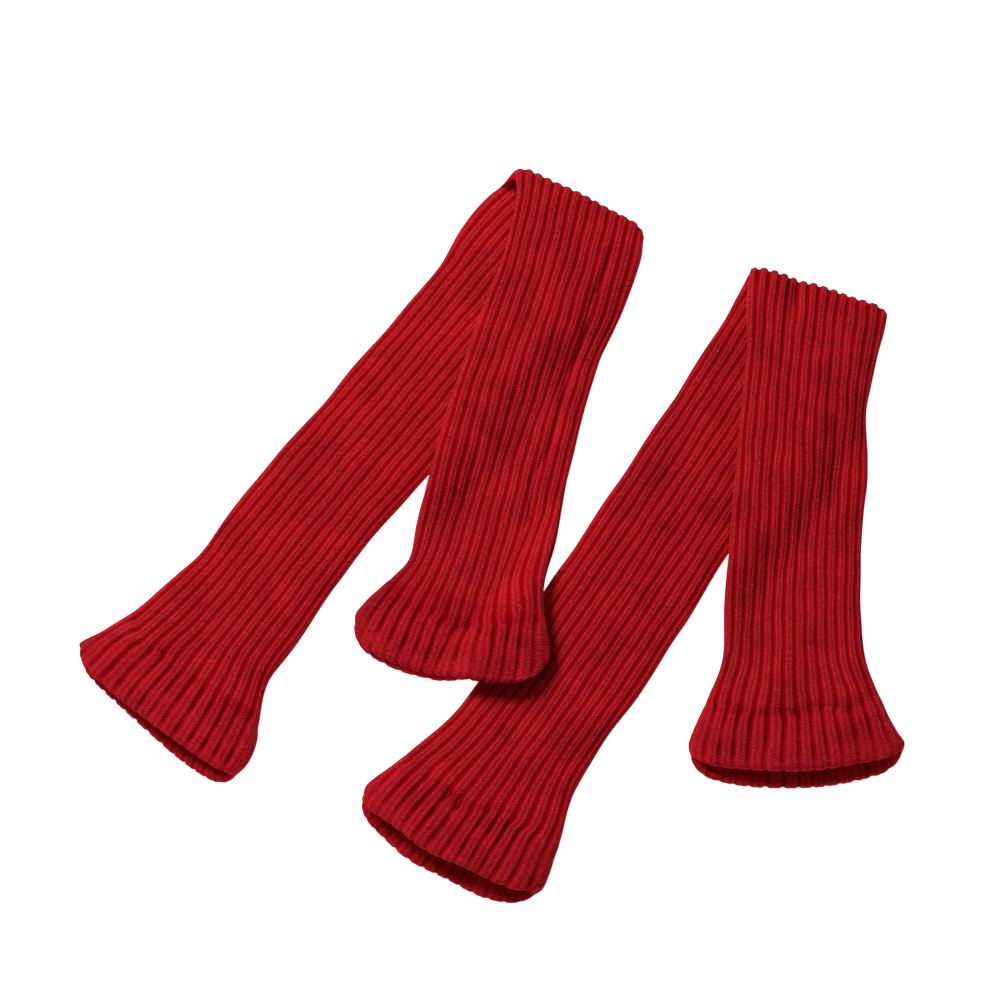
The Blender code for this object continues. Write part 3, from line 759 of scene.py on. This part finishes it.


# %% The sums that draw the stitches
# Each row is a result, the sum that gives it, and what goes in: numbers, or earlier results. They start
# from ribs across and rows along, the knit's depth, the noises named in NOISES, and the painted highlights
# on the fibres. Dark is painted shade in the gaps between stitches, on the wales' sides and down the
# troughs, and the highlights are kept off it.
STITCH_SUMS = (
    ("rib_share", "FRACT", "across"),
    ("past_first", "SUBTRACT", "rib_share", WALES_START),
    ("wales", "DIVIDE", "past_first", WALE_SHARE),
    ("wale_share", "FRACT", "wales"),
    ("sideways", "MULTIPLY_ADD", "wale_share", 2.0, -1.0),
    ("off_middle", "ABSOLUTE", "sideways"),
    ("stray", "MULTIPLY_ADD", "loops", 2.0 * STITCH_STRAY, -STITCH_STRAY),
    ("leg_rise", "MULTIPLY_ADD", "off_middle", STITCH_SLOPE, "stray"),
    ("rows_up", "SUBTRACT", "along", "leg_rise"),
    ("turn", "MULTIPLY", "rows_up", 2.0 * math.pi),
    ("wave", "COSINE", "turn"),
    ("stitch", "MULTIPLY_ADD", "wave", 0.5, 0.5),
    ("squared", "POWER", "off_middle", 2.0),
    ("side", "MULTIPLY", "squared", WALE_SIDE_SHADE),
    ("between", "SUBTRACT", 1.0, "stitch"),
    ("gap", "MULTIPLY_ADD", "between", STITCH_SHADE, "side"),
    ("shade", "MULTIPLY_ADD", "depth", TROUGH_SHADE, "gap"),
    ("dark", "MINIMUM", "shade", 1.0),
    ("loops_lit", "MULTIPLY_ADD", "loops", LOOP_RANGE, LOOP_DARKEST),
    ("patches_lit", "MULTIPLY_ADD", "patches", PATCH_RANGE, PATCH_DARKEST),
    ("lit", "MULTIPLY", "loops_lit", "patches_lit"),
    ("undimmed", "SUBTRACT", 1.0, "dark"),
    ("fleck", "MULTIPLY", "flecks", "undimmed"),
    ("fleck_share", "MULTIPLY", "fleck", FLECK_SHARE),
)
# What varies, over what length, and how much finer detail it has.
NOISES = (("loops", LOOP_SIZE, 1.0), ("fibres", FIBRE_SIZE, 3.0), ("patches", PATCH_SIZE, 2.0))
print("sums:", len(STITCH_SUMS))

# %% Acrylic and wool rib knit
# Rough, hardly glossy and with a little red fuzz, the yarn looks matt from every side.
YARN = {
    "Roughness": 0.92,
    "Specular IOR Level": 0.02,
    "Sheen Weight": 0.03,
    "Sheen Roughness": 0.45,
    "Sheen Tint": linear("#E03048"),
}
STITCH_BUMP = 0.6
FIBRE_BUMP = 0.7


def rib_knit(name, crown, trough, fibre_glint):
    """Matt knitted yarn: V-shaped stitches in each wale, with painted shade where they meet, on the wales'
    sides and down in the troughs, and painted highlights on the fibres.
    """
    material = bpy.data.materials.new(name)
    material.use_nodes = True
    tree = material.node_tree
    shader = tree.nodes["Principled BSDF"]

    place = add_node(tree, "ShaderNodeTexCoord").outputs["Object"]
    uv = add_node(tree, "ShaderNodeUVMap", uv_map="stitches").outputs[0]
    split = add_node(tree, "ShaderNodeSeparateXYZ", {0: uv})
    depth = add_node(tree, "ShaderNodeAttribute", attribute_name="knit_depth").outputs["Fac"]
    found = {"across": split.outputs[0], "along": split.outputs[1], "depth": depth}
    for result, size, detail in NOISES:
        spread = {"Vector": place, "Scale": 1.0 / size, "Detail": detail}
        found[result] = add_node(tree, "ShaderNodeTexNoise", spread).outputs[0]
    # The fibres' noise, cut to its highest spots, is the mask for the painted highlights.
    lightest = {0: found["fibres"], 1: FLECKS_FROM, 2: FLECKS_TO, 3: 0.0, 4: 1.0}
    found["flecks"] = add_node(tree, "ShaderNodeMapRange", lightest).outputs[0]
    for result, operation, *terms in STITCH_SUMS:
        values = [found.get(term, term) for term in terms]
        found[result] = add_node(tree, "ShaderNodeMath", enumerate(values), operation=operation).outputs[0]

    # The trough red is painted shade, mixed in by the knit's depth, the gaps between stitches and the wales'
    # sides.
    reds = {"Factor": found["dark"], "A": linear(crown), "B": linear(trough)}
    red = add_node(tree, "ShaderNodeMix", reds, data_type="RGBA").outputs["Result"]
    # Lighter and darker stitches, and slow patches of painted light and shade for the cloth's swells.
    lit = {0: red, 1: found["lit"]}
    tinted = add_node(tree, "ShaderNodeVectorMath", lit, operation="MULTIPLY").outputs[0]
    # The last colour is a painted highlight on the fibres, kept off the painted shade.
    yarns = {"Factor": found["fleck_share"], "A": tinted, "B": linear(fibre_glint)}
    colour = add_node(tree, "ShaderNodeMix", yarns, data_type="RGBA").outputs["Result"]
    stitches = {"Height": found["stitch"], "Distance": STITCH_RELIEF, "Strength": STITCH_BUMP}
    stitched = add_node(tree, "ShaderNodeBump", stitches).outputs[0]
    fuzz = {"Height": found["fibres"], "Distance": FIBRE_RELIEF, "Strength": FIBRE_BUMP, "Normal": stitched}
    fuzzy = add_node(tree, "ShaderNodeBump", fuzz).outputs[0]
    tree.links.new(colour, shader.inputs["Base Color"])
    tree.links.new(fuzzy, shader.inputs["Normal"])
    for key, value in YARN.items():
        shader.inputs[key].default_value = value
    return material


# The second colour is painted shade at the foot of the ribs and between the stitches, the last a painted
# highlight.
tube_knit = rib_knit("acrylic_wool_rib_knit", crown="#BC1E2A", trough="#9C0004", fibre_glint="#E06C7A")
hem_knit = rib_knit("acrylic_wool_hem_knit", crown="#B81824", trough="#900006", fibre_glint="#D45868")
print("materials:", tube_knit.name, hem_knit.name)

# %% [markdown]
# ## The eight pieces
#
# Each tube is cut where the solids are: a hem, the first run, the second run with the roll over the
# fold, and the other hem. Neighbours share their last ring, so the knit runs on with no seam in sight.


# %% Plans of the pieces
ROLL_START = 14.0 * MM  # the second run's piece starts this far before the fold line
TO_MOUTH_GROWS = 1.45  # the power by which the mouth's slant grows from the linking line to the lip


def run_plan(start, stop):
    """Even rings along the outside."""
    count = 1 + round((stop - start) / RIB_STEP)
    return [Row(place, 0.0, 0.0, 0.0, 0.0) for place in np.linspace(start, stop, count)]


def hem_plan(join, mouth_at):
    """Out along the outside, round the lip and back along the inside."""
    out = math.copysign(1.0, mouth_at - join)
    lip_radius = 0.5 * HEM_WALL

    def wall_row(share, inward):
        lip = smooth_step((share - 1.0 + LIP_FADE) / LIP_FADE)
        corner = np.clip((share - CORNER_FROM) / (1.0 - CORNER_FROM), 0.0, 1.0) ** 2
        spread = HEM_SPREADS * smooth_step(share / SPREAD_BY) - CORNER_NARROWS * corner
        return Row(join + share * (mouth_at - join), inward, share**TO_MOUTH_GROWS, lip, spread)

    plan = [wall_row(share, 0.0) for share in np.linspace(0.0, 1.0, 1 + round(HEM_DEPTH / RIB_STEP))]
    for turned in np.linspace(0.0, math.pi, LIP_RINGS)[1:-1]:
        place = mouth_at + out * lip_radius * math.sin(turned)
        plan.append(Row(place, lip_radius * (1.0 - math.cos(turned)), 1.0, 1.0, HEM_SPREADS - CORNER_NARROWS))
    inside = np.linspace(1.0, 0.0, 1 + round(HEM_DEPTH / INNER_STEP))
    return plan + [wall_row(share, HEM_WALL) for share in inside]


print("rings in a hem:", len(hem_plan(HEM_DEPTH, 0.0)))


# %% One skin, with its knit and creases
CLEAR_OF_FLOOR = 0.25 * MM  # the yarn's own fuzz holds the cloth up this far
CREASED_FROM = 0.15  # how far up the cloth faces where its creases start
CREASED_FULLY = 0.65


def add_skin(node, leg, seed, plan, material):
    """The knitted skin of one solid, riding on the pair's one body in the solid's place."""
    points, place, from_lip, share = smooth_rings(leg, seed, plan)
    lip = np.array([row.lip for row in plan])[:, None]
    rise, depth = knit_rise(leg, seed, from_lip, place, share, lip)
    normal = outward(points)
    facing_up = smooth_step((normal[..., 2] - CREASED_FROM) / (CREASED_FULLY - CREASED_FROM))
    outside = np.array([row.inward == 0.0 for row in plan])[:, None]
    run = "_".join(node.split("_")[:2])
    rise = rise + crease_height(run, points[..., :2]) * facing_up * outside
    points = points + rise[..., None] * normal
    points[..., 2] = np.maximum(points[..., 2], CLEAR_OF_FLOOR)
    stitches = np.stack([phases_round + 0.0 * place, place / COURSE], -1)
    skin = skin_from_rings(f"{node}_knit", points, stitches, depth, material)
    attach(skin, "root")
    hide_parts(node)
    return skin


def add_leg_warmer(side, leg, seed):
    """The four skins of one leg warmer."""
    roll_from = leg.fold_at - ROLL_START
    far_join = leg.length - HEM_DEPTH
    first_hem = add_skin(f"{side}_first_hem", leg, seed, hem_plan(HEM_DEPTH, 0.0), hem_knit)
    first_run = add_skin(f"{side}_first_run", leg, seed, run_plan(HEM_DEPTH, roll_from), tube_knit)
    second_run = add_skin(f"{side}_second_run", leg, seed, run_plan(roll_from, far_join), tube_knit)
    second_hem = add_skin(f"{side}_second_hem", leg, seed, hem_plan(far_join, leg.length), hem_knit)
    return first_hem, first_run, second_run, second_hem


west_skins = add_leg_warmer("west", west, seed=4)
east_skins = add_leg_warmer("east", east, seed=11)

# %% [markdown]
# ## The lit table
#
# The pair lies on a lit table of white acrylic, as things do when they are shown with no shadow around
# them. A plain white board would take a grey shadow along every edge.


# %% Opal acrylic
OPAL_WHITE = linear("#FAFAFA")
# Satin and lit from behind, the sheet is an even white with no reflection of what lies on it.
OPAL_ACRYLIC = {
    "Base Color": OPAL_WHITE,
    "Roughness": 0.9,
    "Specular IOR Level": 0.1,
    "Emission Color": OPAL_WHITE,
    "Emission Strength": 0.95,
}


def opal_acrylic(name):
    """A sheet of white acrylic with lamps behind it."""
    material = bpy.data.materials.new(name)
    material.use_nodes = True
    shader = material.node_tree.nodes["Principled BSDF"]
    for key, value in OPAL_ACRYLIC.items():
        shader.inputs[key].default_value = value
    return material


backlit_acrylic = opal_acrylic("backlit_opal_acrylic")
print("material:", backlit_acrylic.name)

# %% The table's top
FLOOR_HALF = 4.0
FLOOR_CORNERS = ((-1, -1), (1, -1), (1, 1), (-1, 1))
floor_mesh = bpy.data.meshes.new("floor")
floor_mesh.from_pydata([(FLOOR_HALF * x, FLOOR_HALF * y, 0.0) for x, y in FLOOR_CORNERS], [], [(0, 1, 2, 3)])
floor_mesh.materials.append(backlit_acrylic)
floor = bpy.data.objects.new("floor", floor_mesh)
bpy.context.scene.collection.objects.link(floor)
print("floor:", 2 * FLOOR_HALF, "m")


# %% [markdown]
# ## Light and camera
#
# One soft lamp, 0.8 m across, stands 1.5 m up behind the pair and to its left. The lit table and the white
# surroundings fill the rest, so the ribs are shaded on their right and shadows stay short and soft. The
# camera looks down at 62 degrees from 1.6 m away, with a long lens.

# %% Light
SURROUNDINGS = 0.18  # how bright they are
LAMP_PLACE = (-1.0, 0.8, 1.46)  # in metres from the middle of the pair, as it lies on the floor
LAMP_ACROSS = 0.8
LAMP_WATTS = 33.4

world = bpy.data.worlds.new("white_surroundings")
world.use_nodes = True
background = world.node_tree.nodes["Background"]
background.inputs["Color"].default_value = linear("#FFFFFF")
background.inputs["Strength"].default_value = SURROUNDINGS
bpy.context.scene.world = world

lamp_data = bpy.data.lights.new("key", "AREA")
lamp_data.shape = "DISK"
lamp_data.size = LAMP_ACROSS
lamp_data.energy = LAMP_WATTS
lamp = bpy.data.objects.new("key", lamp_data)
lamp.location = LAMP_PLACE
# An area lamp shines down its own -Z, so it is tipped and turned to face the middle of the pair.
tipped = math.atan2(math.hypot(LAMP_PLACE[0], LAMP_PLACE[1]), LAMP_PLACE[2])
lamp.rotation_euler = (tipped, 0.0, math.atan2(LAMP_PLACE[0], -LAMP_PLACE[1]))
bpy.context.scene.collection.objects.link(lamp)
print("lamp tipped by", round(math.degrees(tipped)), "degrees")

# %% Camera
LENS = 96.0  # millimetres, as the camera counts them
SENSOR = 36.0
CAMERA_ELEVATION = math.radians(62.0)
CAMERA_DISTANCE = 1.6
AIM = (0.0029, 0.0138)  # the point on the floor that it looks at

camera_data = bpy.data.cameras.new("camera")
camera_data.lens = LENS
camera_data.sensor_width = SENSOR
camera = bpy.data.objects.new("camera", camera_data)
camera.location = (
    AIM[0],
    AIM[1] - CAMERA_DISTANCE * math.cos(CAMERA_ELEVATION),
    CAMERA_DISTANCE * math.sin(CAMERA_ELEVATION),
)
camera.rotation_euler = (math.pi / 2 - CAMERA_ELEVATION, 0.0, 0.0)
bpy.context.scene.collection.objects.link(camera)
bpy.context.scene.camera = camera
bpy.context.scene.view_settings.view_transform = "Standard"
print("camera at", [round(value, 3) for value in camera.location])
